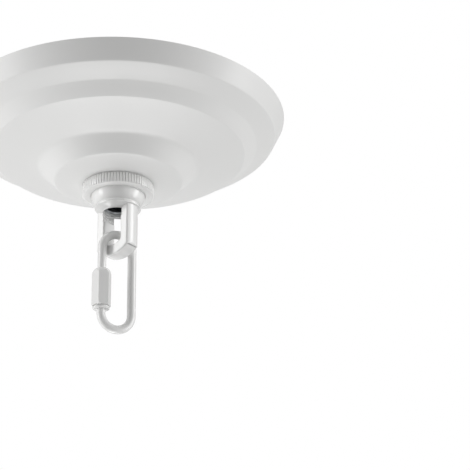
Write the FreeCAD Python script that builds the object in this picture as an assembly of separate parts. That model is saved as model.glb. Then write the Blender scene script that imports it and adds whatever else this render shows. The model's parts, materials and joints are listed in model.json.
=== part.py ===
import FreeCAD, Part
import math
import os

from FreeCAD import Base

os.makedirs("parts", exist_ok=True)

# Frame: the origin is the centre of the canopy's rim, +Z points up into the ceiling, the part hangs down.

# Canopy, a pressed dish
CANOPY_R = 75.0
SHEET = 0.9
# each corner is (radius, height, size of its rounding)
CANOPY_CORNERS = [
    (CANOPY_R, 0.0, 0.0),
    (70.7, -8.6, 1.6),
    (62.4, -12.8, 3.0),
    (56.75, -17.75, 1.6),
    (35.5, -23.0, 5.0),
    (28.7, -30.3, 2.6),
    (17.5, -32.4, 6.0),
]
SEAT_Z = -32.4

# Screw collar with its loop
THREAD_R = 12.1
CANOPY_HOLE_CLEARANCE = 1.4
CANOPY_HOLE_R = THREAD_R + CANOPY_HOLE_CLEARANCE
COLLAR_TOP_Z = -28.0
COLLAR_CHAMFER = 0.8
THREAD_END_Z = -37.0
NECK_IN = 2.35
NECK_R = THREAD_R - NECK_IN
NECK_Z = -42.3
PILLOW_IN = 0.6
PILLOW_MID = (THREAD_R - PILLOW_IN, -39.6)
DISC_RIM = 0.49
DISC_R = NECK_R + DISC_RIM
DISC_BEAD_Z = -43.3
DISC_Z = -43.95
DISC_EDGE = 0.3
EDGE_BOW = 0.3
FLARE_BOW = 0.1
CONE_END_Z = -45.35
LOOP_TURN = 41.6
LUG_STEP = 0.79
LUG_R = DISC_R - LUG_STEP
LUG_HALF_DEPTH = 3.7
LUG_BOTTOM_Z = -66.6
LUG_BOTTOM_R = 12.8
LUG_EDGE = 0.8
WINDOW_HALF_WIDTH = 4.7
WINDOW_BOTTOM_Z = -61.7
WINDOW_BOTTOM_R = 7.0
WINDOW_EDGE = 0.8
DRILL_END_Z = -49.2

# Knurled ring nut
RING_WALL = 3.82
RING_CLEARANCE = 0.08
RING_BORE_R = THREAD_R + RING_CLEARANCE
RING_R = RING_BORE_R + RING_WALL
RING_SEAT_GAP = 0.02
KNURL_COUNT = 75
KNURL_DEPTH = 0.42
KNURL_END_Z = -37.4
KNURL_CHAMFER = 0.35
# a ridge's crest and groove, as (share of the pitch, radius)
KNURL_STEPS = [(0.0, RING_R), (0.3, RING_R), (0.55, RING_R - KNURL_DEPTH), (0.75, RING_R - KNURL_DEPTH)]
LIP_INNER_STEP = 0.05
LIP_INNER_R = RING_BORE_R + LIP_INNER_STEP
LIP_OUTER_R = RING_R - KNURL_DEPTH
LIP_DROP = 0.3

# Screws: shares of the head's height or radius, or of the shank's radius
HEAD_ROUNDING = 0.4
HEAD_SLOT_DEPTH = 0.45
HEAD_SLOT_HALF_WIDTH = 0.14
SCREW_TIP_CHAMFER = 0.2

# Hollow threaded tube
NIPPLE_R = 6.58
NIPPLE_WALL = 1.88
NIPPLE_BORE_R = NIPPLE_R - NIPPLE_WALL
NIPPLE_TOP_Z = 8.0
NIPPLE_END_Z = -43.4
NIPPLE_CHAMFER = 0.5
NIPPLE_BORE_CHAMFER = 0.35
BUSH_WALL = 1.6
BUSH_SKIRT = 2.4
BUSH_TOP = 1.2
BUSH_EXTRA_R = 0.3

# Lock nuts and washers on the tube
LOCK_NUT_WALL = 2.92
LOCK_NUT_FLATS = 2 * (NIPPLE_R + LOCK_NUT_WALL)
LOCK_NUT_HEIGHT = 4.0
LOCK_NUT_CHAMFER = 0.6
WASHER_RIM = 3.92
WASHER_R = NIPPLE_R + WASHER_RIM
WASHER_THICK = 1.2

# Crossbar strap
BAR_WIDTH = 24.0
BAR_THICK = 2.0
BAR_CORNER_R = 4.0
BAR_HOLE_CLEARANCE = 0.12
BAR_HOLE_R = NIPPLE_R + BAR_HOLE_CLEARANCE
BOX_SCREW_R = 2.083
BOX_SCREW_SPACING = 88.9
BAR_END = 7.55
BAR_LENGTH = BOX_SCREW_SPACING + 2 * BAR_END
BOX_SCREW_TIP_Z = 16.7
BOX_SHANK_RELIEF = 0.23
BOX_SHANK_R = BOX_SCREW_R - BOX_SHANK_RELIEF
BOX_SHANK_END_Z = 1.0
BOX_HEAD_R = 4.0
BOX_HEAD_HEIGHT = 2.4
SLOT_CLEARANCE = 0.22
SLOT_HALF_WIDTH = BOX_SCREW_R + SLOT_CLEARANCE
SLOT_INWARD = 5.95
SLOT_OUTWARD = 2.55
SLOT_INNER_X = BOX_SCREW_SPACING / 2 - SLOT_INWARD
SLOT_OUTER_X = BOX_SCREW_SPACING / 2 + SLOT_OUTWARD

# Earth screw
EARTH_X = 24.0
EARTH_SCREW_R = 2.4
EARTH_TIP_Z = 5.0
EARTH_HEAD_R = 4.3
EARTH_HEAD_HEIGHT = 2.6
CUP_R = 5.2
CUP_THICK = 0.8
CUP_LIP = 1.2

# Terminal block
POLE_PITCH = 8.0
POLE_COUNT = 3
BLOCK_MID_X = -26.5
BLOCK_LENGTH = 25.0
BLOCK_DEPTH = 17.0
BLOCK_HEIGHT = 10.0
BLOCK_CORNER_R = 1.2
TOWER_HEIGHT = 2.2
TOWER_WALL = 0.8
BARREL_R = 2.5
BARREL_LENGTH = 14.0
BARREL_Z = -6.6
WIRE_BORE_R = 1.6
WIRE_ENTRY_EXTRA_R = 0.4
CLAMP_SCREW_R = 1.25
CLAMP_SCREW_Y = 4.0
CLAMP_HEAD_R = 1.6
CLAMP_HEAD_HEIGHT = 1.8
CLAMP_TIP_GAP = 0.1
CLAMP_TIP_Z = BARREL_Z - WIRE_BORE_R - CLAMP_TIP_GAP
TOWER_CLEARANCE = 0.15
TOWER_BORE_R = CLAMP_HEAD_R + TOWER_CLEARANCE
BLOCK_SCREW_R = 1.25
BLOCK_SCREW_HEAD_R = 2.4
BLOCK_SCREW_HEAD_HEIGHT = 1.6
BLOCK_SCREW_TIP_Z = 2.0
BLOCK_HOLE_EXTRA_R = 0.2
BLOCK_SCREW_SINK = 2.0
CLAMP_HEAD_TOP_Z = -BAR_THICK - BLOCK_HEIGHT
POLE_X = [BLOCK_MID_X + POLE_PITCH * (POLE_COUNT - 1) / 2 - POLE_PITCH * i for i in range(POLE_COUNT)]
BLOCK_SCREW_X = [x - POLE_PITCH / 2 for x in POLE_X[:-1]]

# Quick link
ROD_R = 1.9
LINK_TURN = 70.0
LINK_X = 0.1
LINK_TOP_Z = -56.15
LINK_LENGTH = 44.35
LINK_BOTTOM_Z = LINK_TOP_Z - LINK_LENGTH
LINK_BEND_R = 6.95
LOWER_ARM_HEIGHT = 3.95
GATE = 4.2
UPPER_ARM_LENGTH = LINK_LENGTH - LINK_BEND_R - LOWER_ARM_HEIGHT - GATE
UPPER_END_Z = LINK_TOP_Z - UPPER_ARM_LENGTH
STUB_TOP_Z = UPPER_END_Z - GATE
STUB_HEIGHT = 1.7
FLANGE_TOP_Z = STUB_TOP_Z - STUB_HEIGHT
FLANGE_THICK = 0.85
FLANGE_R = 3.7
FLANGE_CHAMFER = 0.35

# Nut of the quick link
NUT_FLATS = 7.5
NUT_TURN = 15.0
NUT_HEIGHT = 18.0
NUT_TOP_Z = FLANGE_TOP_Z + NUT_HEIGHT
NUT_SHOULDER = 3.4
NUT_SHOULDER_Z = NUT_TOP_Z - NUT_SHOULDER
NUT_TOP_R = 2.35
NUT_SHOULDER_MID_DROP = 1.15
NUT_SHOULDER_MID = (3.62, NUT_TOP_Z - NUT_SHOULDER_MID_DROP)
NUT_NECK_HEIGHT = 0.5
NUT_HEX_END_Z = FLANGE_TOP_Z + NUT_NECK_HEIGHT
NUT_NECK_R = 2.9
NUT_SEAT_GAP = 0.05
NUT_CLEARANCE = 0.08
NUT_END_CHAMFER = 0.4

# how near an edge lies to the place that it is picked by
NEAR = 0.01
UP = Base.Vector(0, 0, 1)
ORIGIN = Base.Vector(0, 0, 0)


def tube(radius, z_low, z_high, x=0.0, y=0.0):
    return Part.makeCylinder(radius, z_high - z_low, Base.Vector(x, y, z_low), UP)


def block(x0, x1, y0, y1, z0, z1):
    return Part.makeBox(x1 - x0, y1 - y0, z1 - z0, Base.Vector(x0, y0, z0))


def across_y(radius, half_length, x, z):
    start = Base.Vector(x, -half_length, z)
    return Part.makeCylinder(radius, 2 * half_length, start, Base.Vector(0, 1, 0))


def half_plane_point(r, z):
    return Base.Vector(r, 0, z)


def turned(edges):
    face = Part.Face(Part.Wire(edges))
    return face.revolve(ORIGIN, UP, 360)


def straight(a, b):
    return Part.LineSegment(half_plane_point(*a), half_plane_point(*b)).toShape()


def curved(a, b, c):
    return Part.Arc(half_plane_point(*a), half_plane_point(*b), half_plane_point(*c)).toShape()


def hexagon(flats, z_low, z_high, turn=0.0, x=0.0, y=0.0):
    corner_r = flats / math.sqrt(3)
    points = []
    for i in range(7):
        angle = math.radians(turn + 60 * i)
        points.append(Base.Vector(x + corner_r * math.cos(angle), y + corner_r * math.sin(angle), z_low))
    face = Part.Face(Part.makePolygon(points))
    return face.extrude(Base.Vector(0, 0, z_high - z_low))


def rounded_path(corners):
    # straight runs joined by arcs; returns the edges in the half plane y = 0
    edges = []
    start = corners[0][:2]
    for before, here, after in zip(corners, corners[1:], corners[2:]):
        to_before = Base.Vector(before[0] - here[0], before[1] - here[1], 0).normalize()
        to_after = Base.Vector(after[0] - here[0], after[1] - here[1], 0).normalize()
        half_angle = to_before.getAngle(to_after) / 2
        reach = here[2] / math.tan(half_angle)
        bisector = (to_before + to_after).normalize()
        corner = Base.Vector(here[0], here[1], 0)
        arc_start = corner + to_before * reach
        arc_end = corner + to_after * reach
        arc_mid = corner + bisector * (here[2] / math.sin(half_angle) - here[2])
        edges.append(straight(start, (arc_start.x, arc_start.y)))
        edges.append(curved((arc_start.x, arc_start.y), (arc_mid.x, arc_mid.y), (arc_end.x, arc_end.y)))
        start = (arc_end.x, arc_end.y)
    edges.append(straight(start, corners[-1][:2]))
    return edges


def inner_corners(corners, thickness):
    # the same path moved inwards by the sheet's thickness, roundings kept concentric
    lines = []
    for a, b in zip(corners, corners[1:]):
        run = Base.Vector(b[0] - a[0], b[1] - a[1], 0).normalize()
        normal = Base.Vector(run.y, -run.x, 0)
        lines.append((Base.Vector(a[0], a[1], 0) + normal * thickness, run))
    first, first_run = lines[0]
    top = first + first_run * (-first.y / first_run.y)
    result = [(top.x, top.y, 0.0)]
    for (p, u), (q, v), corner in zip(lines, lines[1:], corners[1:]):
        across = u.x * v.y - u.y * v.x
        gap = q - p
        along = (gap.x * v.y - gap.y * v.x) / across
        meet = p + u * along
        grows = across > 0
        result.append((meet.x, meet.y, corner[2] + (thickness if grows else -thickness)))
    last, last_run = lines[-1]
    end = last + last_run * ((corners[-1][0] - last.x) / last_run.x)
    result.append((end.x, end.y, 0.0))
    return result


def make_canopy():
    outer = CANOPY_CORNERS + [(CANOPY_HOLE_R, SEAT_Z, 0.0)]
    inner = inner_corners(outer, SHEET)
    edges = rounded_path(outer)
    edges.append(straight(outer[-1][:2], inner[-1][:2]))
    edges += rounded_path(inner)
    edges.append(straight(inner[0][:2], outer[0][:2]))
    return turned(Part.__sortEdges__(edges))


def make_ring():
    top_z = SEAT_Z - RING_SEAT_GAP
    points = []
    for i in range(KNURL_COUNT):
        for share, radius in KNURL_STEPS:
            angle = 2 * math.pi * (i + share) / KNURL_COUNT
            points.append(Base.Vector(radius * math.cos(angle), radius * math.sin(angle), KNURL_END_Z))
    points.append(points[0])
    knurl = Part.Face(Part.makePolygon(points)).extrude(Base.Vector(0, 0, top_z - KNURL_END_Z))
    chamfered = turned([
        straight((0, KNURL_END_Z), (RING_R - KNURL_DEPTH, KNURL_END_Z)),
        straight((RING_R - KNURL_DEPTH, KNURL_END_Z), (RING_R + NEAR, KNURL_END_Z + KNURL_CHAMFER)),
        straight((RING_R + NEAR, KNURL_END_Z + KNURL_CHAMFER), (RING_R + NEAR, top_z - KNURL_CHAMFER)),
        straight((RING_R + NEAR, top_z - KNURL_CHAMFER), (RING_R - KNURL_DEPTH, top_z)),
        straight((RING_R - KNURL_DEPTH, top_z), (0, top_z)),
        straight((0, top_z), (0, KNURL_END_Z)),
    ])
    knurl = knurl.common(chamfered)
    lip_low = ((LIP_INNER_R + LIP_OUTER_R) / 2, KNURL_END_Z - LIP_DROP)
    lip_root_z = KNURL_END_Z + LIP_DROP
    lip = turned([
        straight((LIP_INNER_R, lip_root_z), (LIP_INNER_R, KNURL_END_Z)),
        curved((LIP_INNER_R, KNURL_END_Z), lip_low, (LIP_OUTER_R, KNURL_END_Z)),
        straight((LIP_OUTER_R, KNURL_END_Z), (LIP_OUTER_R, lip_root_z)),
        straight((LIP_OUTER_R, lip_root_z), (LIP_INNER_R, lip_root_z)),
    ])
    return knurl.fuse(lip).cut(tube(RING_BORE_R, KNURL_END_Z - 1, top_z + 1)).removeSplitter()


def loop_point(u, z, v=0.0):
    turn = math.radians(LOOP_TURN)
    x = u * math.cos(turn) + v * math.sin(turn)
    y = -u * math.sin(turn) + v * math.cos(turn)
    return Base.Vector(x, y, z)


def loop_slab(edges, half_depth):
    face = Part.Face(Part.Wire(edges))
    face.translate(loop_point(0, 0, -half_depth))
    return face.extrude(loop_point(0, 0, 2 * half_depth))


def loop_outline(half_width, top_z, bottom_z, bottom_r):
    corner_z = bottom_z + bottom_r - math.sqrt(bottom_r ** 2 - half_width ** 2)
    left_top = loop_point(-half_width, top_z)
    right_top = loop_point(half_width, top_z)
    left_low = loop_point(-half_width, corner_z)
    right_low = loop_point(half_width, corner_z)
    bottom = Part.Arc(left_low, loop_point(0, bottom_z), right_low).toShape()
    return [
        Part.LineSegment(left_top, left_low).toShape(),
        bottom,
        Part.LineSegment(right_low, right_top).toShape(),
        Part.LineSegment(right_top, left_top).toShape(),
    ]


def window_edges(lug):
    # the edges where the window breaks through the lug's two flat sides
    along = loop_point(1, 0)
    across = loop_point(0, 0, 1)
    found = []
    for edge in lug.Edges:
        if edge.Degenerated or edge.Length < NEAR:
            continue
        points = [v.Point for v in edge.Vertexes]
        on_flat = all(abs(abs(p.dot(across)) - LUG_HALF_DEPTH) < NEAR for p in points)
        in_window = all(abs(p.dot(along)) < WINDOW_HALF_WIDTH + NEAR for p in points)
        low_enough = min(p.z for p in points) < DISC_Z - 1
        inside = all(p.z > WINDOW_BOTTOM_Z - NEAR for p in points)
        if on_flat and in_window and low_enough and inside:
            found.append(edge)
    return found


def make_loop():
    half_width = LUG_R + 1
    lug = loop_slab(loop_outline(half_width, DISC_Z + DISC_EDGE, LUG_BOTTOM_Z, LUG_BOTTOM_R), LUG_HALF_DEPTH)
    lug = lug.common(tube(LUG_R, LUG_BOTTOM_Z - 1, DISC_Z + 1))
    lug = lug.makeFillet(LUG_EDGE, [e for e in lug.Edges if e.BoundBox.ZMin < DISC_Z - 1])
    window = loop_slab(loop_outline(WINDOW_HALF_WIDTH, DISC_Z, WINDOW_BOTTOM_Z, WINDOW_BOTTOM_R), LUG_R)
    lug = lug.cut(window)
    lug = lug.makeFillet(WINDOW_EDGE, window_edges(lug))
    flare_mid = (NECK_R + FLARE_BOW, (NECK_Z + DISC_BEAD_Z) / 2 - FLARE_BOW)
    edge_mid = (DISC_R - EDGE_BOW * DISC_EDGE, DISC_Z + EDGE_BOW * DISC_EDGE)
    collar = turned([
        straight((0, COLLAR_TOP_Z), (THREAD_R - COLLAR_CHAMFER, COLLAR_TOP_Z)),
        straight((THREAD_R - COLLAR_CHAMFER, COLLAR_TOP_Z), (THREAD_R, COLLAR_TOP_Z - COLLAR_CHAMFER)),
        straight((THREAD_R, COLLAR_TOP_Z - COLLAR_CHAMFER), (THREAD_R, THREAD_END_Z)),
        curved((THREAD_R, THREAD_END_Z), PILLOW_MID, (NECK_R, NECK_Z)),
        curved((NECK_R, NECK_Z), flare_mid, (DISC_R, DISC_BEAD_Z)),
        straight((DISC_R, DISC_BEAD_Z), (DISC_R, DISC_Z + DISC_EDGE)),
        curved((DISC_R, DISC_Z + DISC_EDGE), edge_mid, (DISC_R - DISC_EDGE, DISC_Z)),
        straight((DISC_R - DISC_EDGE, DISC_Z), (NIPPLE_R, CONE_END_Z)),
        straight((NIPPLE_R, CONE_END_Z), (0, CONE_END_Z)),
        straight((0, CONE_END_Z), (0, COLLAR_TOP_Z)),
    ])
    drill = tube(NIPPLE_R, DRILL_END_Z, COLLAR_TOP_Z + 1)
    return collar.fuse(lug).cut(drill).removeSplitter()


def make_nipple():
    chamfer = NIPPLE_CHAMFER
    mouth = NIPPLE_BORE_CHAMFER
    return turned([
        straight((NIPPLE_BORE_R, NIPPLE_END_Z + mouth), (NIPPLE_BORE_R + mouth, NIPPLE_END_Z)),
        straight((NIPPLE_BORE_R + mouth, NIPPLE_END_Z), (NIPPLE_R - chamfer, NIPPLE_END_Z)),
        straight((NIPPLE_R - chamfer, NIPPLE_END_Z), (NIPPLE_R, NIPPLE_END_Z + chamfer)),
        straight((NIPPLE_R, NIPPLE_END_Z + chamfer), (NIPPLE_R, NIPPLE_TOP_Z - chamfer)),
        straight((NIPPLE_R, NIPPLE_TOP_Z - chamfer), (NIPPLE_R - chamfer, NIPPLE_TOP_Z)),
        straight((NIPPLE_R - chamfer, NIPPLE_TOP_Z), (NIPPLE_BORE_R, NIPPLE_TOP_Z)),
        straight((NIPPLE_BORE_R, NIPPLE_TOP_Z), (NIPPLE_BORE_R, NIPPLE_END_Z + mouth)),
    ])


def make_bush():
    cap_top = NIPPLE_TOP_Z + BUSH_TOP
    cap = tube(NIPPLE_R + BUSH_WALL, NIPPLE_TOP_Z - BUSH_SKIRT, cap_top)
    cap = cap.makeFillet(BUSH_TOP / 2, [e for e in cap.Edges if e.BoundBox.ZMin > cap_top - 0.1])
    cap = cap.cut(tube(NIPPLE_R, NIPPLE_TOP_Z - BUSH_SKIRT - 1, NIPPLE_TOP_Z))
    return cap.cut(tube(NIPPLE_BORE_R + BUSH_EXTRA_R, NIPPLE_TOP_Z - 1, cap_top + 1))


def make_lock_nut(z_low):
    z_high = z_low + LOCK_NUT_HEIGHT
    corner_r = LOCK_NUT_FLATS / math.sqrt(3)
    edge = LOCK_NUT_CHAMFER
    bounds = turned([
        straight((0, z_low), (corner_r - 2 * edge, z_low)),
        straight((corner_r - 2 * edge, z_low), (corner_r, z_low + edge)),
        straight((corner_r, z_low + edge), (corner_r, z_high - edge)),
        straight((corner_r, z_high - edge), (corner_r - 2 * edge, z_high)),
        straight((corner_r - 2 * edge, z_high), (0, z_high)),
        straight((0, z_high), (0, z_low)),
    ])
    body = hexagon(LOCK_NUT_FLATS, z_low, z_high).common(bounds)
    return body.cut(tube(NIPPLE_R, z_low - 1, z_high + 1))


def make_washer(z_low):
    washer = tube(WASHER_R, z_low, z_low + WASHER_THICK)
    return washer.cut(tube(NIPPLE_R, z_low - 1, z_low + WASHER_THICK + 1))


def make_crossbar():
    half = BAR_LENGTH / 2
    bar = block(-half, half, -BAR_WIDTH / 2, BAR_WIDTH / 2, -BAR_THICK, 0)
    corners = [e for e in bar.Edges if abs(e.BoundBox.ZLength - BAR_THICK) < NEAR]
    bar = bar.makeFillet(BAR_CORNER_R, corners)
    bar = bar.cut(tube(BAR_HOLE_R, -BAR_THICK - 1, 1))
    for side in (-1, 1):
        ends = sorted((side * SLOT_INNER_X, side * SLOT_OUTER_X))
        slot = block(ends[0], ends[1], -SLOT_HALF_WIDTH, SLOT_HALF_WIDTH, -BAR_THICK - 1, 1)
        for x in ends:
            slot = slot.fuse(tube(SLOT_HALF_WIDTH, -BAR_THICK - 1, 1, x))
        bar = bar.cut(slot)
    bar = bar.cut(tube(EARTH_SCREW_R, -BAR_THICK - 1, 1, EARTH_X))
    for x in BLOCK_SCREW_X:
        bar = bar.cut(tube(BLOCK_SCREW_R, -BAR_THICK - 1, 1, x))
    return bar


def make_screw(radius, tip_z, seat_z, head_r, head_height, x, y=0.0):
    # the head hangs below seat_z, the shank points up
    head = tube(head_r, seat_z - head_height, seat_z, x, y)
    low_edges = [e for e in head.Edges if e.BoundBox.ZMax < seat_z - head_height + NEAR]
    head = head.makeFillet(head_height * HEAD_ROUNDING, low_edges)
    shank = tube(radius, seat_z - 0.5 * head_height, tip_z, x, y)
    tip_edges = [e for e in shank.Edges if e.BoundBox.ZMin > tip_z - NEAR]
    shank = shank.makeChamfer(radius * SCREW_TIP_CHAMFER, tip_edges)
    slot_top = seat_z - head_height + HEAD_SLOT_DEPTH * head_height
    half_slot = HEAD_SLOT_HALF_WIDTH * head_r
    slot = block(x - head_r, x + head_r, y - half_slot, y + half_slot, seat_z - head_height - 1, slot_top)
    return head.fuse(shank).removeSplitter().cut(slot)


def make_cup_washer():
    top_z = -BAR_THICK
    low_z = top_z - CUP_THICK
    cup = tube(CUP_R, low_z - CUP_LIP, top_z)
    cup = cup.cut(tube(CUP_R - CUP_THICK, low_z - CUP_LIP - 1, low_z))
    return cup.cut(tube(EARTH_SCREW_R, low_z - 1, top_z + 1, 0)).translated(Base.Vector(EARTH_X, 0, 0))


def make_block_housing():
    x0 = BLOCK_MID_X - BLOCK_LENGTH / 2
    x1 = BLOCK_MID_X + BLOCK_LENGTH / 2
    top_z = -BAR_THICK
    low_z = top_z - BLOCK_HEIGHT
    body = block(x0, x1, -BLOCK_DEPTH / 2, BLOCK_DEPTH / 2, low_z, top_z)
    upright = [e for e in body.Edges if abs(e.BoundBox.ZLength - BLOCK_HEIGHT) < NEAR]
    body = body.makeFillet(BLOCK_CORNER_R, upright)
    for x in POLE_X:
        for y in (-CLAMP_SCREW_Y, CLAMP_SCREW_Y):
            body = body.fuse(tube(TOWER_BORE_R + TOWER_WALL, low_z - TOWER_HEIGHT, low_z + 1, x, y))
    for x in POLE_X:
        body = body.cut(across_y(BARREL_R, BARREL_LENGTH / 2, x, BARREL_Z))
        body = body.cut(across_y(WIRE_BORE_R + WIRE_ENTRY_EXTRA_R, BLOCK_DEPTH, x, BARREL_Z))
        for y in (-CLAMP_SCREW_Y, CLAMP_SCREW_Y):
            body = body.cut(tube(TOWER_BORE_R, low_z - TOWER_HEIGHT - 1, BARREL_Z, x, y))
    for x in BLOCK_SCREW_X:
        head_bore_r = BLOCK_SCREW_HEAD_R + BLOCK_HOLE_EXTRA_R
        body = body.cut(tube(BLOCK_SCREW_R + BLOCK_HOLE_EXTRA_R, low_z - 1, top_z + 1, x))
        body = body.cut(tube(head_bore_r, low_z - TOWER_HEIGHT - 1, low_z + BLOCK_SCREW_SINK, x))
    return body.removeSplitter()


def make_barrel(x):
    barrel = across_y(BARREL_R, BARREL_LENGTH / 2, x, BARREL_Z)
    barrel = barrel.cut(across_y(WIRE_BORE_R, BARREL_LENGTH, x, BARREL_Z))
    for y in (-CLAMP_SCREW_Y, CLAMP_SCREW_Y):
        barrel = barrel.cut(tube(CLAMP_SCREW_R, BARREL_Z - BARREL_R - 1, BARREL_Z, x, y))
    return barrel


def link_point(s, z):
    turn = math.radians(LINK_TURN)
    return Base.Vector(LINK_X + s * math.sin(turn), s * math.cos(turn), z)


def half_bend(centre_z, up):
    # half a torus in the link's plane, above its centre when up is true
    centre = link_point(0, centre_z)
    axis = link_point(1, centre_z).sub(centre).cross(UP)
    start = link_point(LINK_BEND_R if up else -LINK_BEND_R, centre_z)
    circle = Part.Circle(start, UP, ROD_R).toShape()
    face = Part.Face(Part.Wire([circle]))
    bend = face.revolve(centre, axis, 180)
    if bend.Volume < 0:
        bend.reverse()
    return bend


def link_rod(s, z_low, z_high, radius=ROD_R):
    foot = link_point(s, z_low)
    return tube(radius, z_low, z_high, foot.x, foot.y)


def make_link_body():
    bend_top_z = LINK_TOP_Z - LINK_BEND_R
    bend_low_z = LINK_BOTTOM_Z + LINK_BEND_R
    side = LINK_BEND_R
    body = half_bend(bend_top_z, True).fuse(half_bend(bend_low_z, False))
    body = body.fuse(link_rod(side, bend_low_z, bend_top_z))
    body = body.fuse(link_rod(-side, UPPER_END_Z, bend_top_z))
    body = body.fuse(link_rod(-side, bend_low_z, STUB_TOP_Z))
    flange = link_rod(-side, FLANGE_TOP_Z - FLANGE_THICK, FLANGE_TOP_Z, FLANGE_R)
    low_edges = [e for e in flange.Edges if e.BoundBox.ZMax < FLANGE_TOP_Z - FLANGE_THICK + NEAR]
    flange = flange.makeChamfer(FLANGE_CHAMFER, low_edges)
    return body.fuse(flange).removeSplitter()


def make_link_nut():
    corner_r = NUT_FLATS / math.sqrt(3) + NEAR
    seat_z = FLANGE_TOP_Z + NUT_SEAT_GAP
    bounds = turned([
        straight((0, seat_z), (NUT_NECK_R, seat_z)),
        straight((NUT_NECK_R, seat_z), (NUT_NECK_R, NUT_HEX_END_Z)),
        straight((NUT_NECK_R, NUT_HEX_END_Z), (NUT_FLATS / 2, NUT_HEX_END_Z)),
        straight((NUT_FLATS / 2, NUT_HEX_END_Z), (corner_r, NUT_HEX_END_Z + NUT_END_CHAMFER)),
        straight((corner_r, NUT_HEX_END_Z + NUT_END_CHAMFER), (corner_r, NUT_SHOULDER_Z)),
        curved((corner_r, NUT_SHOULDER_Z), NUT_SHOULDER_MID, (NUT_TOP_R, NUT_TOP_Z)),
        straight((NUT_TOP_R, NUT_TOP_Z), (0, NUT_TOP_Z)),
        straight((0, NUT_TOP_Z), (0, seat_z)),
    ])
    nut = hexagon(NUT_FLATS, seat_z, NUT_TOP_Z, NUT_TURN).common(bounds)
    nut = nut.cut(tube(ROD_R + NUT_CLEARANCE, seat_z - 1, NUT_TOP_Z + 1))
    return nut.translated(link_point(-LINK_BEND_R, 0))


def export(name, shape):
    shape.exportStep("parts/" + name + ".step")


export("canopy", make_canopy())
export("collar_ring", make_ring())
export("collar_loop", make_loop())
export("link_body", make_link_body())
export("link_nut", make_link_nut())
export("threaded_nipple", make_nipple())
export("nipple_bush", make_bush())
export("upper_lock_washer", make_washer(0.0))
export("upper_lock_nut", make_lock_nut(WASHER_THICK))
export("lower_lock_washer", make_washer(-BAR_THICK - WASHER_THICK))
export("lower_lock_nut", make_lock_nut(-BAR_THICK - WASHER_THICK - LOCK_NUT_HEIGHT))
export("crossbar", make_crossbar())
for name, side in (("left", -1), ("right", 1)):
    x = side * BOX_SCREW_SPACING / 2
    screw = make_screw(BOX_SCREW_R, BOX_SCREW_TIP_Z, -BAR_THICK, BOX_HEAD_R, BOX_HEAD_HEIGHT, x)
    relief = tube(BOX_SCREW_R, -BAR_THICK, BOX_SHANK_END_Z, x)
    relief = relief.cut(tube(BOX_SHANK_R, -BAR_THICK, BOX_SHANK_END_Z, x))
    export("box_screw_" + name, screw.cut(relief))
earth_seat_z = -BAR_THICK - CUP_THICK
earth_screw = make_screw(EARTH_SCREW_R, EARTH_TIP_Z, earth_seat_z, EARTH_HEAD_R, EARTH_HEAD_HEIGHT, EARTH_X)
export("earth_screw", earth_screw)
export("earth_cup_washer", make_cup_washer())
export("terminal_block_housing", make_block_housing())
for name, x in zip(("live", "neutral", "earth"), POLE_X):
    export("terminal_" + name, make_barrel(x))
    for side, y in (("front", -CLAMP_SCREW_Y), ("back", CLAMP_SCREW_Y)):
        head_top = CLAMP_HEAD_TOP_Z
        screw = make_screw(CLAMP_SCREW_R, CLAMP_TIP_Z, head_top, CLAMP_HEAD_R, CLAMP_HEAD_HEIGHT, x, y)
        export("clamp_screw_" + name + "_" + side, screw)
for name, x in zip(("inner", "outer"), BLOCK_SCREW_X):
    seat_z = -BAR_THICK - BLOCK_HEIGHT + BLOCK_SCREW_SINK
    screw = make_screw(BLOCK_SCREW_R, BLOCK_SCREW_TIP_Z, seat_z, BLOCK_SCREW_HEAD_R, BLOCK_SCREW_HEAD_HEIGHT, x)
    export("block_screw_" + name, screw)
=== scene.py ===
# %% [markdown]
# # A ceiling rose with a screw-collar loop and a quick link
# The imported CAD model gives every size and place. This lesson loads it, gives each piece a real material,
# builds the finely curved pieces again with smoother surfaces, and then sets the light and the camera.

# %% Load the frame
import json
import math

import bmesh
import bpy
from mathutils import Matrix, Vector


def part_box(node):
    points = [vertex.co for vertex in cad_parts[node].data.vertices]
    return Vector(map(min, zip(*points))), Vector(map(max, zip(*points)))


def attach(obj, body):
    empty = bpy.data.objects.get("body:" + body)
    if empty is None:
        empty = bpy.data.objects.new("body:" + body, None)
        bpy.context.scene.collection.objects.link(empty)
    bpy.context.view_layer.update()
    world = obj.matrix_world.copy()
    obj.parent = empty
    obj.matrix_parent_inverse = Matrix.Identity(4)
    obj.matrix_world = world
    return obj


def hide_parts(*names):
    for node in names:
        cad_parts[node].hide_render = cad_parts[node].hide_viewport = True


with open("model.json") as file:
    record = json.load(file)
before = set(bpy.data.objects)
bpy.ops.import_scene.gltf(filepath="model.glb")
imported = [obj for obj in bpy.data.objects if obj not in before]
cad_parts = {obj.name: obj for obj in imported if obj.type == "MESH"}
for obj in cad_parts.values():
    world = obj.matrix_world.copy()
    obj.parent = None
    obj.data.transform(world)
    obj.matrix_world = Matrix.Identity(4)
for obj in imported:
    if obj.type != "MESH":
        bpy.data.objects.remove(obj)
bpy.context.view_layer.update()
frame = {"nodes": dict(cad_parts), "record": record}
body_of_node = {n: b for b, members in frame["record"]["behaviour"]["bodies"].items() for n in members}
slot_of_node = {s["node"]: s["material_slot"] for s in frame["record"]["subparts"]}

MM = 0.001


# %% [markdown]
# Colours are written as sRGB hex. Blender's shaders want linear light, so one function converts them.
# One small function adds a node to any node tree and fills in its sockets.

# %% Colour and node helpers
def linear(hex_colour):
    values = [int(hex_colour[i:i + 2], 16) / 255 for i in (0, 2, 4)]
    return [v / 12.92 if v <= 0.04045 else ((v + 0.055) / 1.055) ** 2.4 for v in values] + [1.0]


def add_node(tree, kind, sockets=None, **settings):
    node = tree.nodes.new(kind)
    for name, value in settings.items():
        setattr(node, name, value)
    for name, value in (sockets or {}).items():
        socket = node.inputs[name]
        if isinstance(value, bpy.types.NodeSocket):
            tree.links.new(value, socket)
        else:
            socket.default_value = value
    return node


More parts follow.
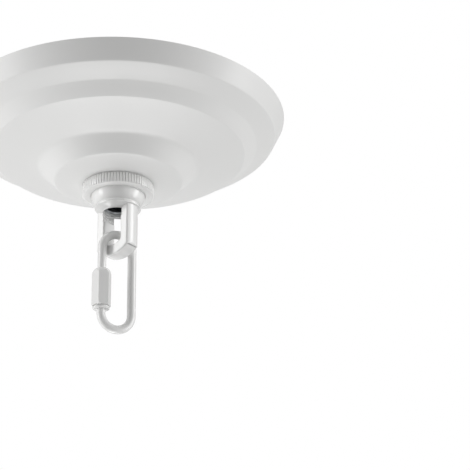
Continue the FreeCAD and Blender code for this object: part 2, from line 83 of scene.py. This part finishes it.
print("mid grey in linear light:", round(linear("808080")[0], 3))


# %% [markdown]
# Seven finishes cover the whole rose. Each is a Principled shader whose values start from the real material.
# Noise on object coordinates adds what the eye expects: a slight ripple in the surface, and soft patches of
# a second, nearly equal colour. Every piece sits at the origin unscaled, so a size in millimetres means the
# same on all of them.

# %% Finishes
def make_finish(name, colour, patch_colour, patch_mm, ripple_mm, ripple_depth_mm, **shader_values):
    finish = bpy.data.materials.new(name)
    finish.use_nodes = True
    tree = finish.node_tree
    shader = tree.nodes["Principled BSDF"]
    for socket, value in shader_values.items():
        shader.inputs[socket.replace("_", " ")].default_value = value
    place = add_node(tree, "ShaderNodeTexCoord").outputs["Object"]
    patches = add_node(tree, "ShaderNodeTexNoise",
                       {"Vector": place, "Scale": 1 / (patch_mm * MM), "Detail": 3.0})
    colours = add_node(tree, "ShaderNodeMix", {"Factor": patches.outputs["Fac"], "A": linear(colour),
                                               "B": linear(patch_colour)}, data_type="RGBA")
    tree.links.new(colours.outputs["Result"], shader.inputs["Base Color"])
    ripple = add_node(tree, "ShaderNodeTexNoise",
                      {"Vector": place, "Scale": 1 / (ripple_mm * MM), "Detail": 2.0})
    bump = add_node(tree, "ShaderNodeBump",
                    {"Height": ripple.outputs["Fac"], "Distance": ripple_depth_mm * MM, "Strength": 1.0})
    tree.links.new(bump.outputs["Normal"], shader.inputs["Normal"])
    return finish


finishes = {
    # epoxy polyester powder, baked on: a satin white with the fine ripple that powder leaves as it flows
    "canopy_white": make_finish("satin_white_powder_coat", "EAEAE9", "E8E8E7", 30, 1.6, 0.006,
                                Roughness=0.4, Coat_Weight=0.3, Coat_Roughness=0.28),
    # sprayed and stoved enamel on the turned and bent parts: harder and shinier, so it mirrors the panels
    "gloss_white": make_finish("stoved_white_enamel", "F1F1F0", "EFEFEE", 20, 1.2, 0.003,
                               Roughness=0.25, Coat_Weight=1.0, Coat_Roughness=0.05),
    # bright zinc, plated on rolled steel: grey mirror with faint cloudy patches from the bath
    "zinc_steel": make_finish("bright_zinc_plate", "C9CBCD", "B4B8BC", 5, 0.6, 0.002,
                              Metallic=1.0, Roughness=0.26),
    # zinc dyed green, the mark of the earth screw: dull metal under a thin green film
    "earth_green": make_finish("green_dyed_zinc", "1F7A3A", "186331", 2, 0.6, 0.002,
                               Metallic=0.8, Roughness=0.3),
    # brass turned on an automatic lathe: yellow, with slightly darker handled patches
    "brass": make_finish("turned_brass", "CFA24E", "BD9142", 3, 0.4, 0.002,
                         Metallic=1.0, Roughness=0.22),
    # natural nylon, moulded: milky off-white with a dry, eroded surface
    "block_plastic": make_finish("moulded_natural_nylon", "E6E2D6", "DED9CB", 6, 0.9, 0.004, Roughness=0.5),
    # black nylon, moulded: nearly black, with a dull sheen
    "bush_plastic": make_finish("moulded_black_nylon", "1C1C1D", "232324", 4, 0.9, 0.004, Roughness=0.45),
}
print("finishes:", sorted(finishes))


# %% [markdown]
# Pressed, turned and bent pieces, such as the canopy, the loop, the link and the bar, have smooth curves that
# the CAD model already holds, but as loose triangles. They could be modelled again by hand. A merged copy is
# surer, because it keeps the true sizes: it is shaded smoothly, with the true edges kept sharp. Each copy
# stands for its node, rides on the same body and takes the node's finish.

# %% Smooth copies of the CAD pieces
SHARP_ANGLE = math.radians(28)
MERGE_DISTANCE = 0.002 * MM


def new_object(name, data):
    made = bpy.data.objects.new(name, data)
    bpy.context.scene.collection.objects.link(made)
    return made


def show(piece, node):
    # the piece takes the node's finish and body, and stands for the node
    piece.data.materials.clear()
    piece.data.materials.append(finishes[slot_of_node[node]])
    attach(piece, body_of_node[node])
    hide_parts(node)


def smooth_mesh(mesh, angle=SHARP_ANGLE):
    work = bmesh.new()
    work.from_mesh(mesh)
    bmesh.ops.remove_doubles(work, verts=work.verts, dist=MERGE_DISTANCE)
    for face in work.faces:
        face.smooth = True
    for edge in work.edges:
        edge.smooth = edge.is_manifold and edge.calc_face_angle(0) < angle
    work.to_mesh(mesh)
    work.free()


def copy_node(node):
    mesh = bpy.data.meshes.new("shown_" + node)
    work = bmesh.new()
    work.from_mesh(frame["nodes"][node].data)
    work.to_mesh(mesh)
    work.free()
    smooth_mesh(mesh)
    show(new_object("shown_" + node, mesh), node)


copied = sorted(set(frame["nodes"]) - {"collar_ring"})
for node in copied:
    copy_node(node)
print("smooth copies:", len(copied))


# %% [markdown]
# Two pieces of this rose repeat one small shape: the ring's knurl and the screw threads. Geometry Nodes make
# both. These helpers start a tree with named inputs, end it with its material, and turn the result into
# a plain mesh.

# %% Geometry Nodes helpers
def start_tree(name, inputs):
    tree = bpy.data.node_groups.new(name, "GeometryNodeTree")
    tree.interface.new_socket("Geometry", in_out="OUTPUT", socket_type="NodeSocketGeometry")
    tree.interface.new_socket("Geometry", in_out="INPUT", socket_type="NodeSocketGeometry")
    for socket, kind in inputs.items():
        tree.interface.new_socket(socket, in_out="INPUT", socket_type="NodeSocket" + kind)
    return tree, add_node(tree, "NodeGroupInput").outputs


def end_tree(tree, geometry, material):
    real = add_node(tree, "GeometryNodeRealizeInstances", {"Geometry": geometry})
    painted = add_node(tree, "GeometryNodeSetMaterial", {"Geometry": real.outputs[0], "Material": material})
    add_node(tree, "NodeGroupOutput", {"Geometry": painted.outputs[0]})


def run_tree(piece, tree, values):
    modifier = piece.modifiers.new(tree.name, "NODES")
    modifier.node_group = tree
    for item in tree.interface.items_tree:
        if item.in_out == "INPUT" and item.name in values:
            modifier[item.identifier] = values[item.name]
    evaluated = piece.evaluated_get(bpy.context.evaluated_depsgraph_get())
    mesh = bpy.data.meshes.new_from_object(evaluated)
    piece.modifiers.clear()
    piece.data = mesh


# %% [markdown]
# The ring nut is turned from bar. Its lip is a shallow hollow that holds a shadow round the collar. The blank
# is spun from its outline, with extra rows where the knurl will fade and 16 steps for each ridge, so that
# the next step has enough points to push.

# %% The ring's blank
ring_low, ring_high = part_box("collar_ring")
RING_R = ring_high[0]
RING_TOP = ring_high[2]
RING_BOTTOM = ring_low[2]
KNURL_DEPTH = 0.42 * MM
KNURL_FADE = 0.4 * MM
KNURL_COUNT = 75
# how many times taller than a ridge the cosine is before its top is cut off
CREST_WIDTH = 2.0
STEPS_PER_RIDGE = 16
# rows of points from each end of the knurl inwards, in halves of its fade
FADE_ROWS = [0, 0.15, 0.5, 1, 1.5, 2]
LIP_DROP = 0.3 * MM
LIP_STEPS = 12
RING_BORE_R = 12.18 * MM
groove_r = RING_R - KNURL_DEPTH
knurl_end = RING_BOTTOM + LIP_DROP


def lip_outline():
    # one shallow arc from the groove in to the bore
    middle = (groove_r + RING_BORE_R) / 2
    half = (groove_r - RING_BORE_R) / 2
    radius = (half ** 2 + LIP_DROP ** 2) / (2 * LIP_DROP)
    points = []
    for i in range(1, LIP_STEPS):
        r = groove_r + (RING_BORE_R - groove_r) * i / LIP_STEPS
        points.append((r, RING_BOTTOM + radius - math.sqrt(radius ** 2 - (r - middle) ** 2)))
    return points


def ring_outline():
    heights = [RING_TOP - KNURL_FADE * row / 2 for row in FADE_ROWS]
    heights += [knurl_end + KNURL_FADE * row / 2 for row in reversed(FADE_ROWS)]
    band = [(groove_r, z) for z in heights]
    return [(RING_BORE_R, RING_TOP)] + band + lip_outline() + [(RING_BORE_R, knurl_end)]


def spin_mesh(name, outline, steps):
    work = bmesh.new()
    rows = []
    for i in range(steps):
        angle = 2 * math.pi * i / steps
        rows.append([work.verts.new((r * math.cos(angle), r * math.sin(angle), z)) for r, z in outline])
    for i in range(steps):
        near, far = rows[i], rows[(i + 1) % steps]
        for j in range(len(outline)):
            k = (j + 1) % len(outline)
            work.faces.new((near[j], far[j], far[k], near[k]))
    bmesh.ops.recalc_face_normals(work, faces=work.faces)
    mesh = bpy.data.meshes.new(name)
    work.to_mesh(mesh)
    work.free()
    return mesh


ring = new_object("shown_collar_ring", spin_mesh("ring", ring_outline(), KNURL_COUNT * STEPS_PER_RIDGE))
print("knurled height in mm:", round((RING_TOP - knurl_end) / MM, 2))


# %% [markdown]
# The knurl, which gives the fingers a grip, is rolled into the real ring as 75 straight ridges. Modelling
# each one would be slow to change. Geometry Nodes push the blank's outer band out by the size of a cosine
# of the angle, cut off near its top. That gives every ridge a broad crest and a narrow, sharp valley, which
# the light can't fill, and the push fades at both ends as the rolled chamfer does.

# %% The knurl
KNURL_SHARP_ANGLE = math.radians(50)
# points from this share of the groove's radius outwards are pushed
BAND_START = 0.999

tree, given = start_tree("knurl", {"Ridges": "Int", "Depth": "Float", "Groove radius": "Float",
                                   "Top": "Float", "Bottom": "Float", "Fade": "Float",
                                   "Crest width": "Float", "Finish": "Material"})
place = add_node(tree, "GeometryNodeInputPosition")
split = add_node(tree, "ShaderNodeSeparateXYZ", {"Vector": place.outputs[0]})
angle = add_node(tree, "ShaderNodeMath", {0: split.outputs["Y"], 1: split.outputs["X"]}, operation="ARCTAN2")
phase = add_node(tree, "ShaderNodeMath", {0: angle.outputs[0], 1: given["Ridges"]}, operation="MULTIPLY")
# half the phase, because a cosine's size has two humps in each turn
half_phase = add_node(tree, "ShaderNodeMath", {0: phase.outputs[0], 1: 0.5}, operation="MULTIPLY")
wave = add_node(tree, "ShaderNodeMath", {0: half_phase.outputs[0]}, operation="COSINE")
swing = add_node(tree, "ShaderNodeMath", {0: wave.outputs[0]}, operation="ABSOLUTE")
ridge = add_node(tree, "ShaderNodeMath", {0: swing.outputs[0], 1: given["Crest width"]},
                 operation="MULTIPLY", use_clamp=True)
from_top = add_node(tree, "ShaderNodeMath", {0: given["Top"], 1: split.outputs["Z"]}, operation="SUBTRACT")
from_bottom = add_node(tree, "ShaderNodeMath", {0: split.outputs["Z"], 1: given["Bottom"]},
                       operation="SUBTRACT")
inside = add_node(tree, "ShaderNodeMath", {0: from_top.outputs[0], 1: from_bottom.outputs[0]},
                  operation="MINIMUM")
faded = add_node(tree, "ShaderNodeMath", {0: inside.outputs[0], 1: given["Fade"]},
                 operation="DIVIDE", use_clamp=True)
height = add_node(tree, "ShaderNodeMath", {0: ridge.outputs[0], 1: faded.outputs[0]}, operation="MULTIPLY")
push = add_node(tree, "ShaderNodeMath", {0: height.outputs[0], 1: given["Depth"]}, operation="MULTIPLY")
flat = add_node(tree, "ShaderNodeVectorMath", {0: place.outputs[0], 1: (1, 1, 0)}, operation="MULTIPLY")
outward = add_node(tree, "ShaderNodeVectorMath", {0: flat.outputs[0]}, operation="NORMALIZE")
offset = add_node(tree, "ShaderNodeVectorMath", {0: outward.outputs[0], "Scale": push.outputs[0]},
                  operation="SCALE")
reach = add_node(tree, "ShaderNodeVectorMath", {0: flat.outputs[0]}, operation="LENGTH")
band_start = add_node(tree, "ShaderNodeMath", {0: given["Groove radius"], 1: BAND_START},
                      operation="MULTIPLY")
outer = add_node(tree, "ShaderNodeMath", {0: reach.outputs["Value"], 1: band_start.outputs[0]},
                 operation="GREATER_THAN")
moved = add_node(tree, "GeometryNodeSetPosition",
                 {"Geometry": given["Geometry"], "Selection": outer.outputs[0], "Offset": offset.outputs[0]})
end_tree(tree, moved.outputs[0], given["Finish"])
run_tree(ring, tree, {"Ridges": KNURL_COUNT, "Depth": KNURL_DEPTH, "Groove radius": groove_r, "Top": RING_TOP,
                      "Bottom": knurl_end, "Fade": KNURL_FADE, "Crest width": CREST_WIDTH,
                      "Finish": finishes["gloss_white"]})
smooth_mesh(ring.data, KNURL_SHARP_ANGLE)
show(ring, "collar_ring")
print("ring triangles:", sum(len(p.vertices) - 2 for p in ring.data.polygons))


# %% [markdown]
# The tube, the collar and the screws have V threads, cut as one groove that winds round. A displacement map
# would only fake it, so a real tooth is swept along a helix. The tree makes the helix, drops what lies in
# the loop's window, where there is no metal to carry it, and sweeps a small diamond along the rest. The
# diamond's inner half is sunk in the metal, so only the crest shows.

# %% The thread
STEPS_PER_TURN = 48
# farther than any piece reaches, in millimetres
FAR = 1000.0

tree, given = start_tree("thread", {"Radius": "Float", "Pitch": "Float", "Height": "Float", "Tooth": "Float",
                                    "Start": "Vector", "Solid above": "Float", "Half depth": "Float",
                                    "Turn": "Float", "Finish": "Material"})
turns = add_node(tree, "ShaderNodeMath", {0: given["Height"], 1: given["Pitch"]}, operation="DIVIDE")
helix = add_node(tree, "GeometryNodeCurveSpiral",
                 {"Resolution": STEPS_PER_TURN, "Rotations": turns.outputs[0],
                  "Start Radius": given["Radius"], "End Radius": given["Radius"],
                  "Height": given["Height"]})
placed = add_node(tree, "GeometryNodeTransform",
                  {"Geometry": helix.outputs[0], "Translation": given["Start"]})
line = add_node(tree, "GeometryNodeCurveToMesh", {"Curve": placed.outputs[0]})
place = add_node(tree, "GeometryNodeInputPosition")
turned = add_node(tree, "ShaderNodeVectorRotate",
                  {"Vector": place.outputs[0], "Angle": given["Turn"]}, rotation_type="Z_AXIS")
split = add_node(tree, "ShaderNodeSeparateXYZ", {"Vector": turned.outputs[0]})
beside = add_node(tree, "ShaderNodeMath", {0: split.outputs["Y"]}, operation="ABSOLUTE")
open_side = add_node(tree, "ShaderNodeMath", {0: beside.outputs[0], 1: given["Half depth"]},
                     operation="GREATER_THAN")
below = add_node(tree, "ShaderNodeMath", {0: split.outputs["Z"], 1: given["Solid above"]},
                 operation="LESS_THAN")
in_window = add_node(tree, "ShaderNodeMath", {0: open_side.outputs[0], 1: below.outputs[0]},
                     operation="MULTIPLY")
kept = add_node(tree, "GeometryNodeDeleteGeometry",
                {"Geometry": line.outputs[0], "Selection": in_window.outputs[0]})
path = add_node(tree, "GeometryNodeMeshToCurve", {"Mesh": kept.outputs[0]})
level = add_node(tree, "GeometryNodeSetCurveNormal", {"Curve": path.outputs[0]}, mode="Z_UP")
diamond = add_node(tree, "GeometryNodeCurvePrimitiveCircle", {"Resolution": 4, "Radius": given["Tooth"]})
swept = add_node(tree, "GeometryNodeCurveToMesh",
                 {"Curve": level.outputs[0], "Profile Curve": diamond.outputs[0], "Fill Caps": True})
end_tree(tree, swept.outputs[0], given["Finish"])
print("thread tree:", len(tree.nodes), "nodes")


def add_thread(node, low, high, radius, pitch, tooth, solid_above=-FAR, half_depth=FAR, turn=0.0):
    # sizes in millimetres; the thread stands on its node's own axis, and nothing is dropped by default
    corner_low, corner_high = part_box(node)
    axis_x = (corner_low[0] + corner_high[0]) / 2
    slot = slot_of_node[node]
    piece = new_object("thread_" + node + "_" + str(round(abs(low))), bpy.data.meshes.new("thread"))
    run_tree(piece, tree, {"Radius": radius * MM, "Pitch": pitch * MM, "Height": (high - low) * MM,
                           "Tooth": tooth * MM, "Start": (axis_x, 0, low * MM),
                           "Solid above": solid_above * MM, "Half depth": half_depth * MM, "Turn": turn,
                           "Finish": finishes[slot]})
    for face in piece.data.polygons:
        face.use_smooth = False
    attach(piece, body_of_node[node])
    return piece


# %% [markdown]
# The collar's thread shows in the window and stops at its flats. The tube shows its thread above the collar,
# up to the lower lock nut, and again between the upper one and its end. The screws are threaded over the
# length that stands above the bar. Each thread stops a little short of a piece's end or of its neighbour.

# %% The threads
# heights and sizes here are in millimetres
LOOP_TURN = math.radians(41.6)
LOOP_HALF_DEPTH = 3.7
WINDOW_TOP = -45.35
COLLAR_RUN = (-49.0, -43.75)
# radius of a thread's teeth at their middle, pitch, and half of a tooth's width
COLLAR_TEETH = {"radius": 6.66, "pitch": 1.15, "tooth": 0.42}
TUBE_TEETH = {"radius": 6.4, "pitch": 1.41, "tooth": 0.35}
EARTH_TEETH = {"radius": 2.33, "pitch": 0.8, "tooth": 0.2}
BOX_TEETH = {"radius": 2.0, "pitch": 0.79, "tooth": 0.2}
# what stays plain next to the collar, below and above the lock nuts, and at the tube's end
COLLAR_GAP = 0.5
LOWER_NUT_GAP = 0.4
UPPER_NUT_GAP = 0.2
TUBE_TIP = 0.8
# what stays plain above the bar and at the screws' tips
EARTH_START = 0.3
EARTH_TIP = 0.4
BOX_START = 1.4
BOX_TIP = 0.5


def low_end(node):
    # to the micron
    return round(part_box(node)[0][2] / MM, 3)


def high_end(node):
    return round(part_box(node)[1][2] / MM, 3)


bar_top = high_end("crossbar")
tube_low_run = (high_end("collar_loop") + COLLAR_GAP, low_end("lower_lock_nut") - LOWER_NUT_GAP)
tube_high_run = (high_end("upper_lock_nut") + UPPER_NUT_GAP, high_end("threaded_nipple") - TUBE_TIP)
earth_run = (bar_top + EARTH_START, high_end("earth_screw") - EARTH_TIP)
threads = [
    add_thread("collar_loop", *COLLAR_RUN, **COLLAR_TEETH,
               solid_above=WINDOW_TOP, half_depth=LOOP_HALF_DEPTH, turn=LOOP_TURN),
    add_thread("threaded_nipple", *tube_low_run, **TUBE_TEETH),
    add_thread("threaded_nipple", *tube_high_run, **TUBE_TEETH),
    add_thread("earth_screw", *earth_run, **EARTH_TEETH),
]
for node in ("box_screw_left", "box_screw_right"):
    box_run = (bar_top + BOX_START, high_end(node) - BOX_TIP)
    threads.append(add_thread(node, *box_run, **BOX_TEETH))
print("threads:", {t.name: len(t.data.polygons) for t in threads})


# %% [markdown]
# The camera was solved from the photo: it stands 0.7 m away and 28 degrees below the rose, with a long lens.
# Its frame cuts off the canopy's left side, as the photo's does.

# %% Camera
CAMERA_AT = Vector((0, -618.446, -327.91)) * MM
LENS = 116.97
SENSOR_WIDTH = 36
camera = new_object("camera", bpy.data.cameras.new("camera"))
right = Vector((0.9968645, -0.0779766, -0.0134447))
up = Vector((-0.0191286, -0.4023557, 0.9152836))
ahead = Vector((0.0767803, 0.9121565, 0.4025857))
turn = Matrix((right, up, -ahead)).transposed().to_4x4()
camera.matrix_world = Matrix.Translation(CAMERA_AT) @ turn
camera.data.lens = LENS
camera.data.sensor_width = SENSOR_WIDTH
camera.data.clip_start = 0.01
camera.data.clip_end = 50
bpy.context.scene.camera = camera
print("camera distance in mm:", round(CAMERA_AT.length / MM))


# %% [markdown]
# The rose hangs in a white studio. Broad light comes from its left, its right and behind, the camera's side
# stays darker, and a panel lights it from below and a little behind. That gives the white dish its grey front
# walls and pale steps. The world holds the broad light as a few soft lobes, each a direction and a strength,
# and is plain white where the camera sees it. Two upright panels add the crisp strips that the enamel
# mirrors. The floor is small, so that it doesn't shade the rose from the world's light.

# %% Light and floor
# a lobe's light falls off as this power of the cosine
LOBE_POWER = 5.0
FLOOR_SIZE = 1.32
FLOOR_Z = -2.0
AIM_AT = Vector((0, 0, -0.05))
# direction and strength
lobes = {
    "left": ((-1, 0, 0), 1.3),
    "left, camera side": ((-1, -0.5, 0), 0.75),
    "right": ((1, 0, 0), 0.9),
    "right, camera side": ((1, -0.55, 0), 1.25),
    "left, below and behind": ((-1, 1, -1), 0.55),
    "left, below": ((-1, 0, -1), 0.25),
    "behind": ((0, 1, 0), 0.6),
    "behind, above": ((0, 1, 1), 0.5),
    "above": ((0, 0, 1), 0.8),
}
# place and size in metres, and watts
panels = {
    "panel_below": ((0, 0.45, -1.45), (1.0, 1.0), 10.4),
    "panel_right": ((1.5, -0.2, 0), (0.5, 1.6), 6.4),
    "panel_left": ((-1.5, -0.3, 0.1), (0.5, 1.6), 5.3),
}
world = bpy.data.worlds.new("studio")
bpy.context.scene.world = world
world.use_nodes = True
tree = world.node_tree
tree.nodes.clear()
direction = add_node(tree, "ShaderNodeTexCoord").outputs["Generated"]
total = 0.0
for towards, strength in lobes.values():
    axis = Vector(towards).normalized()
    facing = add_node(tree, "ShaderNodeVectorMath", {0: direction, 1: axis}, operation="DOT_PRODUCT")
    lit_side = add_node(tree, "ShaderNodeMath", {0: facing.outputs["Value"], 1: 0.0}, operation="MAXIMUM")
    lobe = add_node(tree, "ShaderNodeMath", {0: lit_side.outputs[0], 1: LOBE_POWER}, operation="POWER")
    summed = add_node(tree, "ShaderNodeMath", {0: lobe.outputs[0], 1: strength, 2: total},
                      operation="MULTIPLY_ADD")
    total = summed.outputs[0]
lit = add_node(tree, "ShaderNodeBackground", {"Color": (1, 1, 1, 1), "Strength": total})
seen = add_node(tree, "ShaderNodeBackground", {"Color": (1, 1, 1, 1), "Strength": 1.0})
ray = add_node(tree, "ShaderNodeLightPath")
mix = add_node(tree, "ShaderNodeMixShader",
               {0: ray.outputs["Is Camera Ray"], 1: lit.outputs[0], 2: seen.outputs[0]})
add_node(tree, "ShaderNodeOutputWorld", {"Surface": mix.outputs[0]})


def add_panel(name, place, size, watts):
    light = bpy.data.lights.new(name, "AREA")
    light.shape = "RECTANGLE"
    light.size, light.size_y = size
    light.energy = watts
    panel = new_object(name, light)
    panel.location = place
    panel.rotation_euler = (AIM_AT - Vector(place)).to_track_quat("-Z", "Y").to_euler()


for name, (place, size, watts) in panels.items():
    add_panel(name, place, size, watts)

bpy.ops.mesh.primitive_plane_add(size=FLOOR_SIZE, location=(0, 0, FLOOR_Z))
floor = bpy.context.object
floor.name = "studio_floor"
floor.data.materials.append(make_finish("painted_plaster", "F2F2F0", "EFEFED", 40, 2.0, 0.01, Roughness=0.8))
bpy.context.scene.view_settings.view_transform = "Standard"
print("lobes:", len(lobes), "panels:", len(panels))
